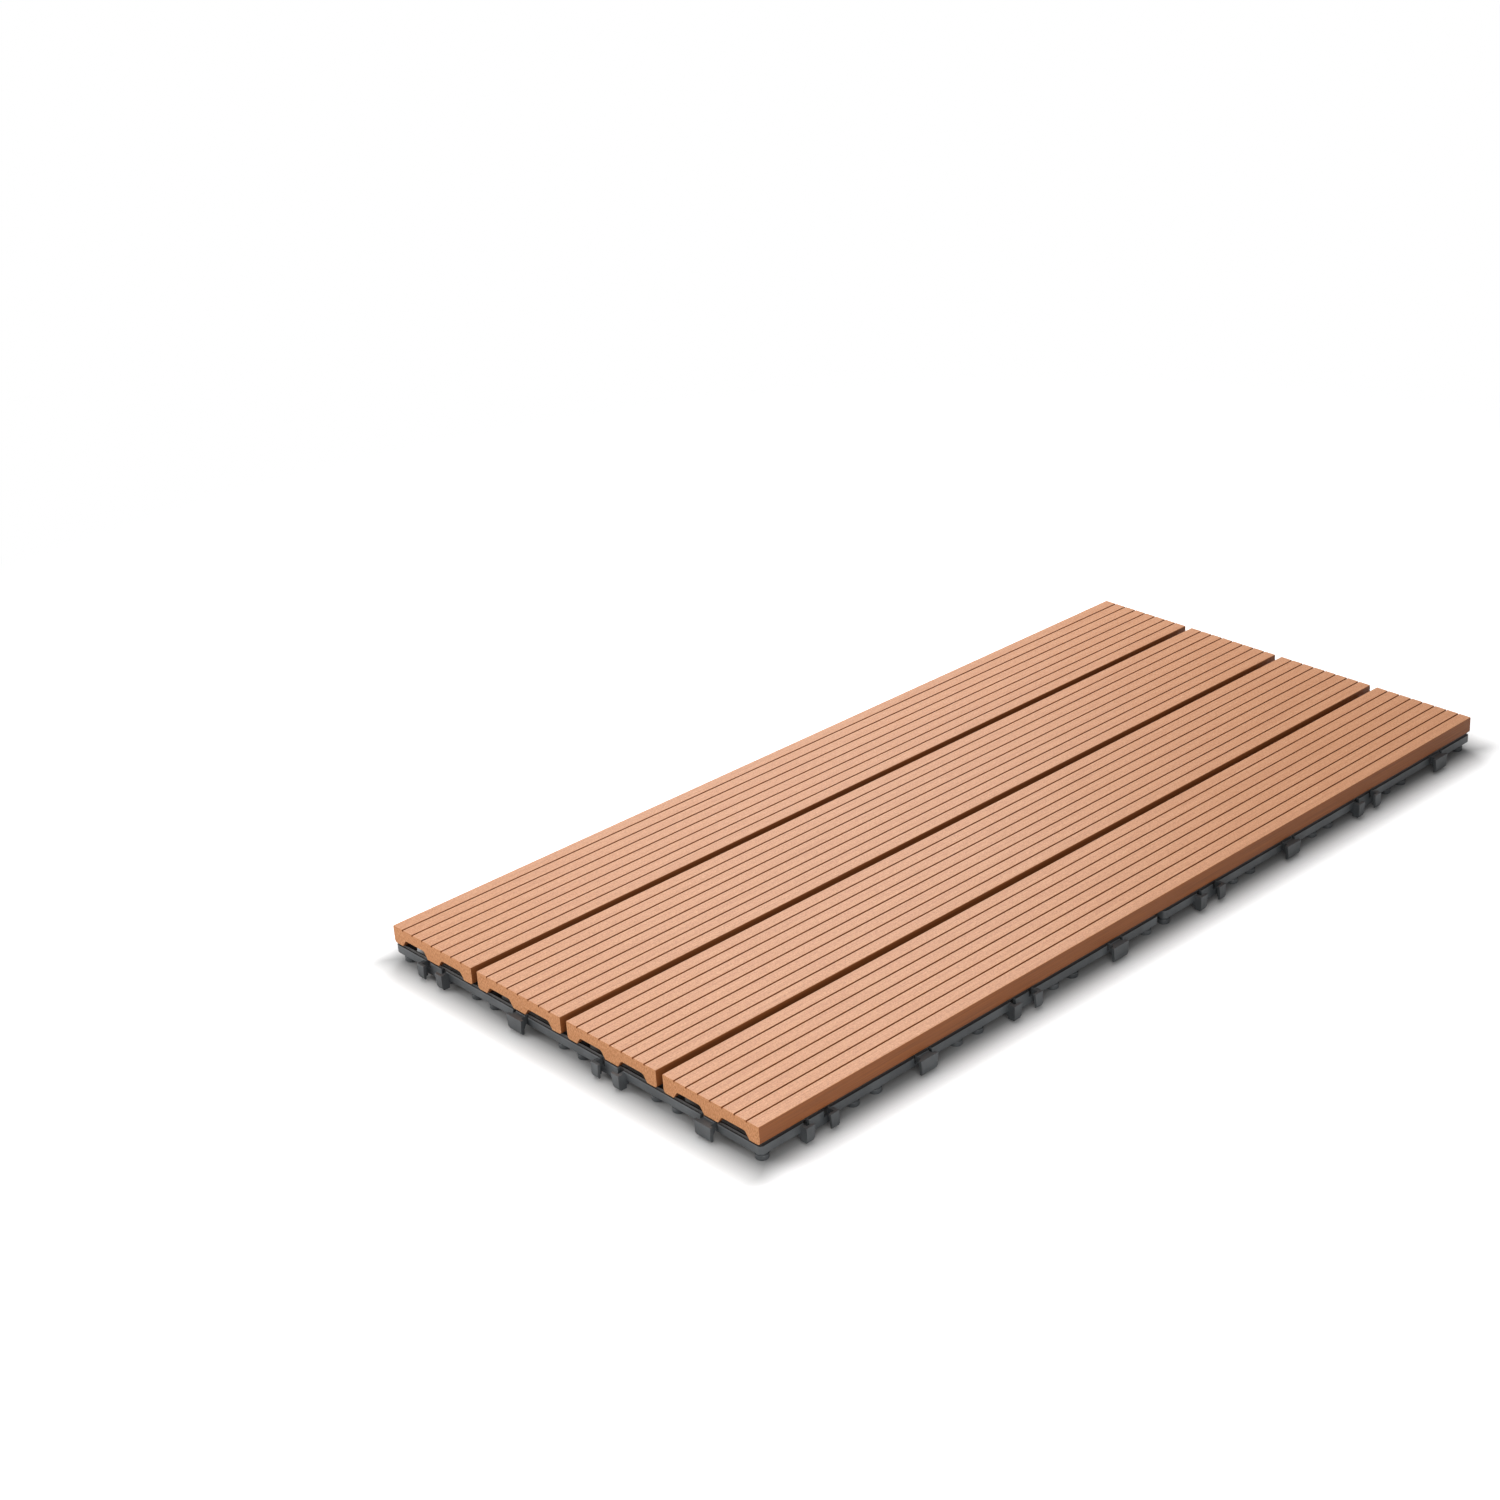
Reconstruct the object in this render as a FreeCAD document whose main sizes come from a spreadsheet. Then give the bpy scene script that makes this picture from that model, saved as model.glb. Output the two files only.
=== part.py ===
import FreeCAD, Part
import os
import Sketcher

# Interlocking deck tile: four grooved slats screwed from beneath onto two clipped base grids.
# The origin is on the ground under the tile's centre, +X runs along the slats and +Z points up.

os.makedirs("parts", exist_ok=True)
doc = FreeCAD.newDocument("deck_tile")

# Driving sizes, in millimetres
sizes = {
    # slats
    "slat_width": 70,
    "slat_gap": 5,
    "slat_thickness": 10.5,
    "slat_top_round": 0.6,
    "slat_foot_round": 2.2,
    "leg_foot": 7.5,
    "leg_root": 10.5,
    "spine_foot": 10,
    "spine_root": 16,
    "channel_depth": 4.2,
    "channel_round": 2,
    "groove_pitch": 8.75,
    "groove_width": 1.3,
    "groove_floor": 1,
    "groove_depth": 1,
    "groove_bevel": 0.3,
    # base grids
    "base_gap": 5,
    "base_height": 11.5,
    "base_corner": 2.5,
    "beam_height": 5.8,
    "beam_wall": 2.2,
    "corner_block": 6,
    "rib_wall": 1.8,
    "rib_spacing": 15.5,
    "foot_width": 7.2,
    "foot_inset": 5.5,
    # hooks and tabs of the grids
    "clip_drop": 1.5,
    "clip_height": 8.8,
    "clip_bevel_height": 1.8,
    "clip_bevel_run": 0.9,
    "clip_end_play": 0.5,
    "clip_side_play": 0.3,
    "hook_slot": 10.2,
    "hook_slot_lead": 1,
    "hook_tip_width": 5.8,
    "hook_arm": 2,
    "hook_web_lift": 1.6,
    "tab_width": 12.4,
    "tab_foot_width": 10.8,
    "tab_plate": 2,
    "tab_stem": 8,
    "window_drop": 1,
    "window_height": 3.8,
    # screws and what they pass through
    "screw_plate": 3,
    "screw_plate_length": 13,
    "screw_diameter": 3,
    "screw_length": 11,
    "screw_point": 1.6,
    "screw_head_diameter": 7,
    "screw_head_height": 2.1,
    "screw_hole_play": 0.2,
    "pilot_play": 0.1,
    "pilot_extra_depth": 0.4,
}
slatCount = 4
grooveCount = 7

sheet = doc.addObject("Spreadsheet::Sheet", "Size")
for row, (name, number) in enumerate(sizes.items(), start=1):
    sheet.set("A%d" % row, name)
    sheet.set("B%d" % row, str(number))
    sheet.setAlias("B%d" % row, name)
doc.recompute()

# Places that follow from the sizes
slatPitch = "(Size.slat_width + Size.slat_gap)"
deckWidth = "(%d * %s - Size.slat_gap)" % (slatCount, slatPitch)
baseSide = deckWidth
slatLength = "(2 * %s + Size.base_gap)" % baseSide
slatTop = "(Size.base_height + Size.slat_thickness)"
ceiling = "(Size.base_height + Size.channel_depth)"
baseHalf = "(%s / 2)" % baseSide
basePitch = "(%s + Size.base_gap)" % baseSide
quarter = "(%s / 4)" % baseSide
beamBottom = "(Size.base_height - Size.beam_height)"
clipReach = "(Size.base_gap - Size.clip_end_play)"
tabBack = "(%s - Size.tab_plate)" % clipReach
hookTipBack = "(Size.base_gap - %s + Size.clip_side_play)" % tabBack
hookHalf = "(Size.hook_slot / 2 + Size.hook_tip_width)"
clipTop = "(Size.base_height - Size.clip_drop)"
clipBottom = "(%s - Size.clip_height)" % clipTop
clipShoulder = "(%s + Size.clip_bevel_height)" % clipBottom
webBottom = "(%s + Size.hook_web_lift)" % clipBottom
windowTop = "(Size.base_height - Size.window_drop)"
windowBottom = "(%s - Size.window_height)" % windowTop
plateBottom = "(Size.base_height - Size.screw_plate)"
rimInside = "(%s - Size.beam_wall)" % baseHalf
face = "-" + baseHalf
twinLines = ["-%s %s Size.rib_spacing / 2" % (quarter, sign) for sign in ("-", "+")]
hookLines = ["-3 * %s / 2" % quarter, "%s / 2" % quarter]
tabLines = ["-%s / 2" % quarter, "3 * %s / 2" % quarter]


def valueOf(formula):
    return float(sheet.evalExpression(formula))


def originFeature(body, role):
    for feature in body.Origin.OriginFeatures:
        if feature.Role == role:
            return feature
    raise RuntimeError("no origin feature " + role)


# A sketch on one of its body's origin planes, shifted in the plane's own axes.
def newSketch(body, name, plane, shift=("0", "0", "0")):
    sketch = body.newObject("Sketcher::SketchObject", name)
    sketch.AttachmentSupport = (originFeature(body, plane), [""])
    sketch.MapMode = "FlatFace"
    for axis, formula in zip("xyz", shift):
        if formula != "0":
            sketch.setExpression("AttachmentOffset.Base." + axis, formula)
    return sketch


# A closed outline whose every corner is held by two formulas.
def addOutline(sketch, corners):
    points = [FreeCAD.Vector(valueOf(across), valueOf(up), 0) for across, up in corners]
    first = sketch.GeometryCount
    count = len(points)
    sketch.addGeometry([Part.LineSegment(points[k], points[(k + 1) % count]) for k in range(count)], False)
    joints = []
    for k in range(count):
        joints.append(Sketcher.Constraint("Coincident", first + k, 2, first + (k + 1) % count, 1))
    sketch.addConstraint(joints)
    for k, corner in enumerate(corners):
        for kind, formula, place in zip(("DistanceX", "DistanceY"), corner, (points[k].x, points[k].y)):
            index = sketch.addConstraint(Sketcher.Constraint(kind, -1, 1, first + k, 1, place))
            sketch.setExpression("Constraints[%d]" % index, formula)


def addRectangle(sketch, left, right, low, high):
    addOutline(sketch, [(left, low), (right, low), (right, high), (left, high)])


# A regular outline of that width across its corners, with flats that face the axes.
def addPolygon(sketch, across, up, width, sides=8):
    corners = []
    for k in range(sides):
        angle = (k + 0.5) * 360 / sides
        over = "%s + (%s) / 2 * cos(%g)" % (across, width, angle)
        corners.append((over, "%s + (%s) / 2 * sin(%g)" % (up, width, angle)))
    addOutline(sketch, corners)


def addPad(body, name, sketch, length, symmetric=False, reverse=False):
    pad = body.newObject("PartDesign::Pad", name)
    pad.Profile = sketch
    pad.SideType = "Symmetric" if symmetric else "One side"
    pad.Reversed = reverse
    pad.setExpression("Length", length)
    return pad


# A cut, which has to take something away from the solid before it.
def addPocket(body, name, sketch, length, symmetric=False, reverse=False):
    doc.recompute()
    before = body.Shape.Volume
    pocket = body.newObject("PartDesign::Pocket", name)
    pocket.Profile = sketch
    pocket.SideType = "Symmetric" if symmetric else "One side"
    pocket.Reversed = reverse
    pocket.setExpression("Length", length)
    doc.recompute()
    if not body.Shape.Volume < before - 0.01:
        raise RuntimeError(name + " cuts nothing")
    return pocket


def addRow(body, name, features, axis, spacing, count):
    row = body.newObject("PartDesign::LinearPattern", name)
    if features:
        row.Originals = features
        body.Tip = row
    row.Direction = (originFeature(body, axis), [""])
    row.Mode = "Spacing"
    row.setExpression("Offset", spacing)
    row.Occurrences = count
    return row


def addTurns(body, name, features, count):
    turns = body.newObject("PartDesign::PolarPattern", name)
    if features:
        turns.Originals = features
        body.Tip = turns
    turns.Axis = (originFeature(body, "Z_Axis"), [""])
    turns.Angle = 360
    turns.Occurrences = count
    return turns


def addSteps(body, name, features, steps):
    pattern = body.newObject("PartDesign::MultiTransform", name)
    pattern.Originals = features
    pattern.Transformations = steps
    body.Tip = pattern
    return pattern


# Rounds the straight edges that run along one axis through the given places of the other two.
def addFillet(body, name, base, axis, places, radius):
    doc.recompute()
    names = []
    for number, edge in enumerate(base.Shape.Edges, start=1):
        if edge.Curve.TypeId != "Part::GeomLine":
            continue
        if abs(abs(edge.tangentAt(edge.FirstParameter)[axis]) - 1) > 1e-6:
            continue
        middle = [edge.CenterOfMass[k] for k in range(3) if k != axis]
        for place in places:
            if abs(middle[0] - place[0]) < 0.01 and abs(middle[1] - place[1]) < 0.01:
                names.append("Edge%d" % number)
    if len(names) != len(places):
        raise RuntimeError(name + " finds %d edges" % len(names))
    fillet = body.newObject("PartDesign::Fillet", name)
    fillet.Base = (base, names)
    fillet.setExpression("Radius", radius)
    return fillet


# A slat: one extruded profile with a spine, two legs, two channels and seven grooves.
def makeSlat(number):
    body = doc.addObject("PartDesign::Body", "Slat%d" % number)
    body.Label = "slat_%d" % number
    half = "Size.slat_width / 2"
    right = [
        (half, slatTop),
        (half, "Size.base_height"),
        (half + " - Size.leg_foot", "Size.base_height"),
        (half + " - Size.leg_root", ceiling),
        ("Size.spine_root / 2", ceiling),
        ("Size.spine_foot / 2", "Size.base_height"),
    ]
    left = [("-(%s)" % across, up) for across, up in reversed(right)]
    profile = newSketch(body, "SlatProfile%d" % number, "YZ_Plane")
    addOutline(profile, right + left)
    pad = addPad(body, "SlatPad%d" % number, profile, slatLength, symmetric=True)

    edge = valueOf(half)
    root = edge - valueOf("Size.leg_root")
    spine = valueOf("Size.spine_root / 2")
    roof = valueOf(ceiling)
    top = [(side * edge, valueOf(slatTop)) for side in (-1, 1)]
    foot = [(side * edge, valueOf("Size.base_height")) for side in (-1, 1)]
    inner = [(side * across, roof) for side in (-1, 1) for across in (spine, root)]
    solid = addFillet(body, "TopRound%d" % number, pad, 0, top, "Size.slat_top_round")
    solid = addFillet(body, "FootRound%d" % number, solid, 0, foot, "Size.slat_foot_round")
    addFillet(body, "ChannelRound%d" % number, solid, 0, inner, "Size.channel_round")

    first = "-%g * Size.groove_pitch" % ((grooveCount - 1) / 2)
    mouth = "(Size.groove_width / 2 + Size.groove_bevel)"
    groove = newSketch(body, "GrooveProfile%d" % number, "YZ_Plane")
    addOutline(groove, [
        (first + " - " + mouth, slatTop),
        (first + " - Size.groove_width / 2", slatTop + " - Size.groove_bevel"),
        (first + " - Size.groove_floor / 2", slatTop + " - Size.groove_depth"),
        (first + " + Size.groove_floor / 2", slatTop + " - Size.groove_depth"),
        (first + " + Size.groove_width / 2", slatTop + " - Size.groove_bevel"),
        (first + " + " + mouth, slatTop),
    ])
    cut = addPocket(body, "Groove%d" % number, groove, slatLength, symmetric=True)
    addRow(body, "Grooves%d" % number, [cut], "Y_Axis", "Size.groove_pitch", grooveCount)

    pilots = newSketch(body, "PilotHoles%d" % number, "XY_Plane", ("0", "0", "Size.base_height"))
    for base in ("-", "+"):
        for line in ("-", "+"):
            across = "%s%s / 2 %s %s" % (base, basePitch, line, quarter)
            addPolygon(pilots, across, "0", "Size.screw_diameter + 2 * Size.pilot_play")
    depth = "Size.screw_length - Size.screw_plate + Size.pilot_extra_depth"
    addPocket(body, "Pilots%d" % number, pilots, depth, reverse=True)

    body.setExpression("Placement.Base.y", "%g * %s" % (number - (slatCount + 1) / 2, slatPitch))
    return body


# The flat grid of a base: rim beam, twin ribs and the plates that the screws pass through.
def makeGrid():
    body = doc.addObject("PartDesign::Body", "Grid")
    rim = newSketch(body, "Rim", "XY_Plane", ("0", "0", beamBottom))
    addRectangle(rim, "-" + baseHalf, baseHalf, "-" + baseHalf, baseHalf)
    addRectangle(rim, "-" + rimInside, rimInside, "-" + rimInside, rimInside)
    beam = addPad(body, "Beam", rim, "Size.beam_height")
    far = valueOf(baseHalf)
    corners = [(-far, -far), (-far, far), (far, -far), (far, far)]
    addFillet(body, "Corners", beam, 2, corners, "Size.base_corner")

    # twin ribs under each quarter line, both ways
    for axis in ("X_Axis", "Y_Axis"):
        ribs = newSketch(body, "Ribs" + axis[0], "XY_Plane", ("0", "0", beamBottom))
        for line in twinLines:
            strip = (line + " - Size.rib_wall / 2", line + " + Size.rib_wall / 2")
            span = ("-" + rimInside, rimInside)
            if axis == "X_Axis":
                addRectangle(ribs, *strip, *span)
            else:
                addRectangle(ribs, *span, *strip)
        pair = addPad(body, "Pair" + axis[0], ribs, "Size.beam_height")
        addRow(body, "Pairs" + axis[0], [pair], axis, quarter, 3)

    # solid corners over the corner feet
    blocks = newSketch(body, "Blocks", "XY_Plane", ("0", "0", beamBottom))
    blockEnd = "-(%s - Size.corner_block)" % rimInside
    addRectangle(blocks, "-" + rimInside, blockEnd, "-" + rimInside, blockEnd)
    block = addPad(body, "Block", blocks, "Size.beam_height")
    addTurns(body, "CornerBlocks", [block], 4)

    # plates between the twin ribs, with a hole under the middle of every slat
    lastSlat = "-%g * %s" % ((slatCount - 1) / 2, slatPitch)
    plates = newSketch(body, "Plates", "XY_Plane", ("0", "0", plateBottom))
    holes = newSketch(body, "ScrewHoles", "XY_Plane", ("0", "0", plateBottom))
    for sign in ("-", "+"):
        left = "%s%s - Size.rib_spacing / 2" % (sign, quarter)
        right = "%s%s + Size.rib_spacing / 2" % (sign, quarter)
        low = lastSlat + " - Size.screw_plate_length / 2"
        high = lastSlat + " + Size.screw_plate_length / 2"
        addRectangle(plates, left, right, low, high)
        addPolygon(holes, sign + quarter, lastSlat, "Size.screw_diameter + 2 * Size.screw_hole_play")
    plate = addPad(body, "Plate", plates, "Size.screw_plate")
    addRow(body, "PlateRow", [plate], "Y_Axis", slatPitch, slatCount)
    hole = addPocket(body, "ScrewHole", holes, "Size.screw_plate", reverse=True)
    addRow(body, "HoleRow", [hole], "Y_Axis", slatPitch, slatCount)
    return body


# Feet at the crossings of the ribs, where they meet the rim, and in the four corners.
def makeFeet():
    body = doc.addObject("PartDesign::Body", "Feet")
    body.AllowCompound = True
    rimLine = "-(%s - Size.foot_inset)" % baseHalf

    inner = newSketch(body, "InnerFeet", "XY_Plane")
    for across in twinLines:
        for up in twinLines:
            addPolygon(inner, across, up, "Size.foot_width")
    feet = addPad(body, "InnerFoot", inner, beamBottom)
    doc.recompute()
    steps = [addRow(body, "FeetAcross", None, "X_Axis", "2 * " + quarter, 2)]
    steps.append(addRow(body, "FeetAlong", None, "Y_Axis", "2 * " + quarter, 2))
    addSteps(body, "FeetInside", [feet], steps)

    edge = newSketch(body, "EdgeFeet", "XY_Plane")
    for across in twinLines:
        addPolygon(edge, across, rimLine, "Size.foot_width")
    feet = addPad(body, "EdgeFoot", edge, beamBottom)
    doc.recompute()
    steps = [addRow(body, "FeetOfSide", None, "X_Axis", quarter, 3)]
    steps.append(addTurns(body, "FeetOfSides", None, 4))
    addSteps(body, "FeetOutside", [feet], steps)

    corner = newSketch(body, "CornerFeet", "XY_Plane")
    addPolygon(corner, rimLine, rimLine, "Size.foot_width")
    feet = addPad(body, "CornerFoot", corner, beamBottom)
    addTurns(body, "FeetOfCorners", [feet], 4)
    return body


# Hooks and tabs take turns along a side: hook, tab, hook, tab from left to right.
# Those of the front side are turned onto the other three.
def makeClips():
    body = doc.addObject("PartDesign::Body", "Clips")
    body.AllowCompound = True

    webs = newSketch(body, "Webs", "XY_Plane", ("0", "0", webBottom))
    for line in hookLines:
        addRectangle(webs, line + " - " + hookHalf, line + " + " + hookHalf, face, face + " + Size.beam_wall")
    web = addPad(body, "Web", webs, "%s - %s" % (beamBottom, webBottom))

    # each hook is an arm and a tip, and the slot between two tips widens downwards
    arms = newSketch(body, "Arms", "XY_Plane", ("0", "0", clipBottom))
    tips = newSketch(body, "Tips", "XZ_Plane", ("0", "0", "%s + %s" % (baseHalf, hookTipBack)))
    for line in hookLines:
        for sign in ("-", "+"):
            outer = "%s %s %s" % (line, sign, hookHalf)
            inner = "%s %s (%s - Size.hook_arm)" % (line, sign, hookHalf)
            slot = "%s %s Size.hook_slot / 2" % (line, sign)
            addRectangle(arms, outer, inner, face + " - " + clipReach, face)
            addOutline(tips, [
                (outer, clipBottom),
                (outer, clipTop),
                (slot, clipTop),
                ("%s %s Size.hook_slot_lead" % (slot, sign), clipBottom),
            ])
    arm = addPad(body, "Arm", arms, "Size.clip_height")
    tip = addPad(body, "Tip", tips, "%s - %s" % (clipReach, hookTipBack))

    stems = []
    for number, line in enumerate(tabLines, start=1):
        stem = newSketch(body, "Stem%d" % number, "YZ_Plane", ("0", "0", line))
        addOutline(stem, [
            (face, clipTop),
            (face, beamBottom),
            (face + " - " + tabBack, clipBottom),
            (face + " - " + tabBack, clipTop),
        ])
        stems.append(addPad(body, "StemPad%d" % number, stem, "Size.tab_stem", symmetric=True))

    tabs = newSketch(body, "Tabs", "XZ_Plane", ("0", "0", "%s + %s" % (baseHalf, tabBack)))
    for line in tabLines:
        addOutline(tabs, [
            (line + " - Size.tab_foot_width / 2", clipBottom),
            (line + " + Size.tab_foot_width / 2", clipBottom),
            (line + " + Size.tab_width / 2", clipTop),
            (line + " - Size.tab_width / 2", clipTop),
        ])
    tab = addPad(body, "Tab", tabs, "Size.tab_plate")

    # the lower front edges are bevelled, so that a neighbour slides in from above
    bevels = newSketch(body, "Bevels", "YZ_Plane")
    addOutline(bevels, [
        (face + " - " + clipReach, clipShoulder),
        (face + " - " + clipReach, clipBottom),
        (face + " - " + clipReach + " + Size.clip_bevel_run", clipBottom),
    ])
    bevel = addPocket(body, "Bevel", bevels, baseSide, symmetric=True)
    addTurns(body, "ClipSides", [web, arm, tip] + stems + [tab, bevel], 4)
    return body


# What the mould's cores leave open in the rim, behind the hook tips and the wings of the tabs.
def makeWindows():
    body = doc.addObject("PartDesign::Body", "Windows")
    body.AllowCompound = True
    windows = newSketch(body, "WindowSketch", "XZ_Plane", ("0", "0", rimInside))
    for line in hookLines:
        for sign in ("-", "+"):
            near = "%s %s Size.hook_slot / 2" % (line, sign)
            arm = "%s %s (%s - Size.hook_arm)" % (line, sign, hookHalf)
            addRectangle(windows, near, arm, windowBottom, windowTop)
    for line in tabLines:
        for sign in ("-", "+"):
            near = "%s %s Size.tab_stem / 2" % (line, sign)
            wing = "%s %s Size.tab_width / 2" % (line, sign)
            addRectangle(windows, near, wing, windowBottom, windowTop)
    window = addPad(body, "Window", windows, "Size.beam_wall")
    addTurns(body, "WindowSides", [window], 4)
    return body


# The moulding made about its own centre, and then one body for each place that it takes.
def makeMoulding():
    whole = doc.addObject("Part::MultiFuse", "GridFeetAndClips")
    whole.Shapes = [makeGrid(), makeFeet(), makeClips()]
    moulding = doc.addObject("Part::Cut", "BaseMoulding")
    moulding.Base = whole
    moulding.Tool = makeWindows()
    moulding.Refine = True
    doc.recompute()
    return moulding


def placeBase(moulding, name, label, side):
    body = doc.addObject("PartDesign::Body", name)
    body.Label = label
    body.BaseFeature = moulding
    body.setExpression("Placement.Base.x", "%s%s / 2" % (side, basePitch))
    return body


# The screws: a head under its plate, a shank up into the slat's spine, and a tapered point.
def makeScrews():
    body = doc.addObject("PartDesign::Body", "Screws")
    body.Label = "screws"
    body.AllowCompound = True
    across = "-%s / 2 - %s" % (basePitch, quarter)
    along = "-%g * %s" % ((slatCount - 1) / 2, slatPitch)
    pointStart = "%s + Size.screw_length - Size.screw_point" % plateBottom

    heads = newSketch(body, "HeadOutline", "XY_Plane", (across, along, plateBottom))
    addPolygon(heads, "0", "0", "Size.screw_head_diameter", 12)
    head = addPad(body, "Head", heads, "Size.screw_head_height", reverse=True)
    shanks = newSketch(body, "ShankOutline", "XY_Plane", (across, along, plateBottom))
    addPolygon(shanks, "0", "0", "Size.screw_diameter")
    shank = addPad(body, "Shank", shanks, "Size.screw_length - Size.screw_point")
    points = newSketch(body, "PointOutline", "XY_Plane", (across, along, pointStart))
    addPolygon(points, "0", "0", "Size.screw_diameter")
    point = addPad(body, "Point", points, "Size.screw_point")
    point.setExpression("TaperAngle", "-atan(Size.screw_diameter / 3 / Size.screw_point)")
    doc.recompute()
    steps = [addRow(body, "ScrewsOfGrid", None, "X_Axis", "2 * " + quarter, 2)]
    steps.append(addRow(body, "ScrewsOfGrids", None, "X_Axis", basePitch, 2))
    steps.append(addRow(body, "ScrewsOfSlats", None, "Y_Axis", slatPitch, slatCount))
    addSteps(body, "ScrewRows", [head, shank, point], steps)
    return body


nodes = [makeSlat(number) for number in range(1, slatCount + 1)]
moulding = makeMoulding()
nodes.append(placeBase(moulding, "BaseLeft", "base_grid_left", "-"))
nodes.append(placeBase(moulding, "BaseRight", "base_grid_right", "+"))
nodes.append(makeScrews())
doc.recompute()

for item in doc.Objects:
    if "Invalid" in item.State or "Error" in item.State:
        raise RuntimeError("%s is %s" % (item.Name, item.State))
for body in nodes:
    shape = body.Shape
    if shape.isNull() or not shape.isValid() or not shape.Solids:
        raise RuntimeError(body.Label + " has no valid solid")
    shape.exportStep(os.path.join("parts", body.Label + ".step"))
    box = shape.BoundBox
    extent = "%.2f x %.2f x %.2f" % (box.XLength, box.YLength, box.ZLength)
    print(body.Label, len(shape.Solids), "solids", round(shape.Volume / 1000, 2), "cm3", extent)
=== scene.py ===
import math
import bpy
import bmesh
import numpy as np
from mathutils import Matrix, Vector


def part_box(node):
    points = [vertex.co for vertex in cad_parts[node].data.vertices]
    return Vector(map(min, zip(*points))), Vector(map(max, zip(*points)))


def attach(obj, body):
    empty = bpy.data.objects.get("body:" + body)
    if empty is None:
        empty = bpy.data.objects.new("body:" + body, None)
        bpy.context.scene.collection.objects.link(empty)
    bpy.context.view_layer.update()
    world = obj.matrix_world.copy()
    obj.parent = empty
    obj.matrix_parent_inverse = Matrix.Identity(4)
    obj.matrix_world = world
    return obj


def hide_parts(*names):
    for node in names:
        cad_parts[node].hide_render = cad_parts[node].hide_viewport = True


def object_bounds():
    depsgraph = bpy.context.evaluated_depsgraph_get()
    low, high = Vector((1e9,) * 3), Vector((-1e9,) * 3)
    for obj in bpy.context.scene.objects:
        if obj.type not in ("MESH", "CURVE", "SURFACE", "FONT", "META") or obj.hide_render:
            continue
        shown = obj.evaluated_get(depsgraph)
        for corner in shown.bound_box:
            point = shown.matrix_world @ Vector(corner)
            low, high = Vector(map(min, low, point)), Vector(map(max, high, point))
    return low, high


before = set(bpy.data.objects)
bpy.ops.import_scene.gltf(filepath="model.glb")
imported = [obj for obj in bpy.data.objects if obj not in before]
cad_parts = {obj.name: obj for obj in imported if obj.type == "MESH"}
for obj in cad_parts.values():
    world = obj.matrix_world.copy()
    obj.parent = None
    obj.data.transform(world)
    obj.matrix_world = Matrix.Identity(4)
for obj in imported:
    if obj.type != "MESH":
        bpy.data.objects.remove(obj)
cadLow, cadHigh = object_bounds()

mm = 0.001
tiny = 1e-12  # a length this small counts as none


def linear(hexColour):  # an sRGB hex value as the linear colour that the shaders take
    parts = np.array([int(hexColour[k:k + 2], 16) for k in (1, 3, 5)]) / 255
    parts = np.where(parts <= 0.04045, parts / 12.92, ((parts + 0.055) / 1.055) ** 2.4)
    return (*parts.tolist(), 1.0)


# Meshes

turnAngles = {  # degrees
    "crease": 35,  # a sharper turn stays an edge
    "mould": 32,  # a sharper turn gets the mould's radius
    "flat": 1,  # faces that turn less are joined
}


def roundCorners(corners, radii, steps):
    # Each corner of a closed outline is swapped for a curve that leaves both of its edges smoothly:
    # (1-u)^2 start + 2u(1-u) corner + u^2 end, where start and end lie radius * cot(half angle) from the
    # corner. The cosine is kept short of a straight or folded corner.
    straight = 0.9999
    corners = np.asarray(corners, float)
    radii = np.asarray(radii, float)[:, None]
    back = np.roll(corners, 1, 0) - corners
    ahead = np.roll(corners, -1, 0) - corners
    back /= np.linalg.norm(back, axis=1, keepdims=True)
    ahead /= np.linalg.norm(ahead, axis=1, keepdims=True)
    cosine = np.clip((back * ahead).sum(1, keepdims=True), -straight, straight)
    reach = radii * np.sqrt((1 + cosine) / (1 - cosine))
    start = corners + back * reach
    end = corners + ahead * reach
    u = np.linspace(0, 1, steps)[None, :, None]
    curve = (1 - u) ** 2 * start[:, None] + 2 * u * (1 - u) * corners[:, None] + u ** 2 * end[:, None]
    return curve.reshape(-1, 2)


def inset(outline, depth):  # a closed outline moved inwards along the mean normal of its two edges
    ahead = np.roll(outline, -1, 0) - outline
    ahead /= np.maximum(np.linalg.norm(ahead, axis=1, keepdims=True), tiny)
    tangent = ahead + np.roll(ahead, 1, 0)
    tangent /= np.maximum(np.linalg.norm(tangent, axis=1, keepdims=True), tiny)
    return outline + np.stack([-tangent[:, 1], tangent[:, 0]], 1) * depth


def ringLoft(rings):
    # Rings of equal count, closed at both ends: quad (r, c) joins the points c and c + 1 of the rings r and
    # r + 1, and the first and last rings are faces themselves.
    rings = np.asarray(rings, float)
    levels, count = rings.shape[:2]
    r = np.arange(levels - 1)[:, None] * count
    c = np.arange(count)[None, :]
    d = (c + 1) % count
    quads = np.stack([r + c, r + d, r + count + d, r + count + c], -1).reshape(-1, 4)
    return rings, quads, [np.arange(count)[::-1], np.arange(count) + (levels - 1) * count]


def makePiece(name, shells, material):
    # shells are (points, quads, caps) each, joined into one smooth mesh that keeps its creases
    vertices, faces, offset = [], [], 0
    for points, quads, caps in shells:
        vertices.append(points.reshape(-1, 3))
        faces.extend((quads + offset).tolist())
        faces.extend([(cap + offset).tolist() for cap in caps])
        offset += len(vertices[-1])
    mesh = bpy.data.meshes.new(name)
    mesh.from_pydata(np.concatenate(vertices).tolist(), [], faces)
    mesh.update()
    mesh.validate()
    mesh.polygons.foreach_set("use_smooth", np.ones(len(mesh.polygons), bool))
    mesh.set_sharp_from_angle(angle=math.radians(turnAngles["crease"]))
    piece = bpy.data.objects.new(name, mesh)
    bpy.context.scene.collection.objects.link(piece)
    mesh.materials.append(material)
    weighted = piece.modifiers.new("Flat faces stay flat", "WEIGHTED_NORMAL")
    weighted.keep_sharp = True
    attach(piece, "root")
    return piece


# Materials


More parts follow.
